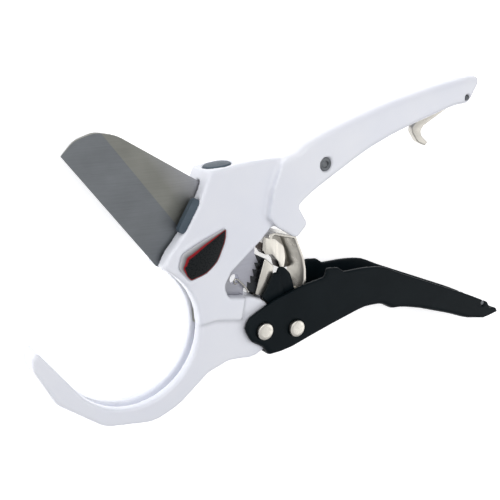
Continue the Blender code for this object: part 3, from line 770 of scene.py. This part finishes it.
def makePawls():
    strap = brushedNickel("strapNickel", 0.1, (1400, 40, 400), 0.92, 0.6)
    finger = pawlAxis[:2] + np.array(strapLooks["finger"]) * mm
    # painted shade on the claw's cut edges and on the finger, then a painted shade patch on the far cheek
    paintSideShade(strap, strapLooks["fingerShade"])
    shade = (finger[0] - strapLooks["shadeLeft"], finger[1], midPlane - strapLooks["shadeDepth"])
    darkenNear(strap, shade, strapLooks["shadeScale"], strapLooks["shadeReach"], strapLooks["shadeTone"])
    checkFinish = brushedNickel("checkNickel", 0.2, (1400, 60, 400), 0.9, 0.5)
    # painted shade on the check pawl's upright cut edges
    paintSideShade(checkFinish, (0.02, 0.022, 0.024))
    stamped = (("feed_pawl", "feedPawl", "feed_pawl", strap, "nickel", 0.15),
               ("check_pawl", "checkPawl", "check_pawl", checkFinish, "nickel", 0.18),
               ("latch_hook", "latchHook", "latch_hook",
                brushedNickel("hookNickel", 0.9, (90, 1300, 900), 0.78, 0.8), "nickel", 0.22),
               ("pawl_carrier", "pawlCarrier", "feed_pawl", blackEnamel(), "black_enamel", 0.18))
    for nodeName, name, body, finish, slotName, width in stamped:
        piece = bevelled(nodeName, name, finish, width * mm, 3, 30)
        markShadedSides(piece, finger if nodeName == "feed_pawl" else None)
        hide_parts(nodeName)
        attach(piece, body)
        print("stamping", name, len(piece.data.polygons))


makeBlade()
makeBody()
makeHandle()
makeLabel()
makePad("front_pad_near", "frontPadNear")
makePad("front_pad_far", "frontPadFar")
# painted shade: the top pad is a dark piece put where the body's top has only a shaded channel end
makePad("top_pad", "topShadePad")
makeSmallHardware()
makeSprings()
makePawls()


def makeStage():
    finish = newFinish("paleFloor", (0.94, 0.94, 0.95), 0.7)
    shader = shaderOf(finish)
    shader.inputs["Specular IOR Level"].default_value = 0.1
    shader.inputs["Emission Color"].default_value = (1, 1, 1, 1)
    shader.inputs["Emission Strength"].default_value = studio["floorGlow"]
    size = studio["floorReach"]
    points = np.array([(-size, -size, 0), (size, -size, 0), (size, size, 0), (-size, size, 0)])
    floor = addMesh("floor", points, [[0, 1, 2, 3]], finish, None)
    # the room is darker near the horizon, so that edges and bent metal have something to reflect
    world = bpy.data.worlds.new("studio")
    world.use_nodes = True
    tree = world.node_tree
    background = tree.nodes["Background"]
    where = tree.nodes.new("ShaderNodeTexCoord")
    split = tree.nodes.new("ShaderNodeSeparateXYZ")
    sky = tree.nodes.new("ShaderNodeValToRGB")
    tree.links.new(where.outputs["Generated"], split.inputs["Vector"])
    tree.links.new(split.outputs["Z"], sky.inputs["Fac"])
    tree.links.new(sky.outputs["Color"], background.inputs["Color"])
    elements = sky.color_ramp.elements
    while len(elements) < len(studio["sky"]):
        elements.new(0.5)
    for element, (position, grey) in zip(elements, studio["sky"]):
        element.position = position
        element.color = (grey, grey, 1.02 * grey, 1)
    background.inputs["Strength"].default_value = studio["skyStrength"]
    # past the floor's far edge the backdrop is plain white
    plain = tree.nodes.new("ShaderNodeBackground")
    plain.inputs["Color"].default_value = (1, 1, 1, 1)
    seen = tree.nodes.new("ShaderNodeLightPath")
    either = tree.nodes.new("ShaderNodeMixShader")
    tree.links.new(seen.outputs["Is Camera Ray"], either.inputs[0])
    tree.links.new(background.outputs[0], either.inputs[1])
    tree.links.new(plain.outputs[0], either.inputs[2])
    tree.links.new(either.outputs[0], tree.nodes["World Output"].inputs["Surface"])
    bpy.context.scene.world = world
    bpy.context.scene.view_settings.view_transform = "Standard"


studio = {
    "floorReach": 3.0,
    "floorGlow": 0.55,
    "skyStrength": 0.66,
    "sky": [(0.0, 0.25), (0.30, 0.35), (0.55, 0.75), (0.80, 0.80), (1.0, 1.0)],
    "softBoxes": {
        "overhead": {"at": (-0.05, 0.30, 0.75), "size": 0.6, "power": 1.62},
        "left": {"at": (-0.75, 0.40, 0.35), "size": 0.5, "power": 1.75},
        "right": {"at": (0.65, -0.25, 0.55), "size": 0.5, "power": 0.8},
    },
}


def makeLights():
    for name, box in studio["softBoxes"].items():
        light = bpy.data.lights.new(name, "AREA")
        light.shape = "SQUARE"
        light.size = box["size"]
        light.energy = box["power"]
        made = bpy.data.objects.new(name, light)
        towards = -np.array(box["at"])
        towards /= np.linalg.norm(towards)
        side = np.cross(towards, (0, 0, 1.0))
        side /= np.linalg.norm(side)
        upward = np.cross(side, towards)
        made.matrix_world = Matrix((
            (side[0], upward[0], -towards[0], box["at"][0]), (side[1], upward[1], -towards[1], box["at"][1]),
            (side[2], upward[2], -towards[2], box["at"][2]), (0, 0, 0, 1)))
        bpy.context.scene.collection.objects.link(made)


cameraSetup = {
    "lens": 66.23,
    "sensor": 36.0,
    "right": (0.8515, 0.0, 0.5243),
    "ahead": (0.5037, -0.2774, -0.8181),
    "at": (-0.180424, 0.087828, 0.27298),
}


def makeCamera():
    ahead = np.array(cameraSetup["ahead"])
    ahead /= np.linalg.norm(ahead)
    right = np.array(cameraSetup["right"])
    right -= ahead * right.dot(ahead)
    right /= np.linalg.norm(right)
    upward = np.cross(right, ahead)
    lens = bpy.data.cameras.new("camera")
    lens.lens = cameraSetup["lens"]
    lens.sensor_width = cameraSetup["sensor"]
    lens.clip_start = 0.01
    made = bpy.data.objects.new("camera", lens)
    at = cameraSetup["at"]
    made.matrix_world = Matrix((
        (right[0], upward[0], -ahead[0], at[0]), (right[1], upward[1], -ahead[1], at[1]),
        (right[2], upward[2], -ahead[2], at[2]), (0, 0, 0, 1)))
    bpy.context.scene.collection.objects.link(made)
    bpy.context.scene.camera = made


makeStage()
makeLights()
makeCamera()
print("stage set")
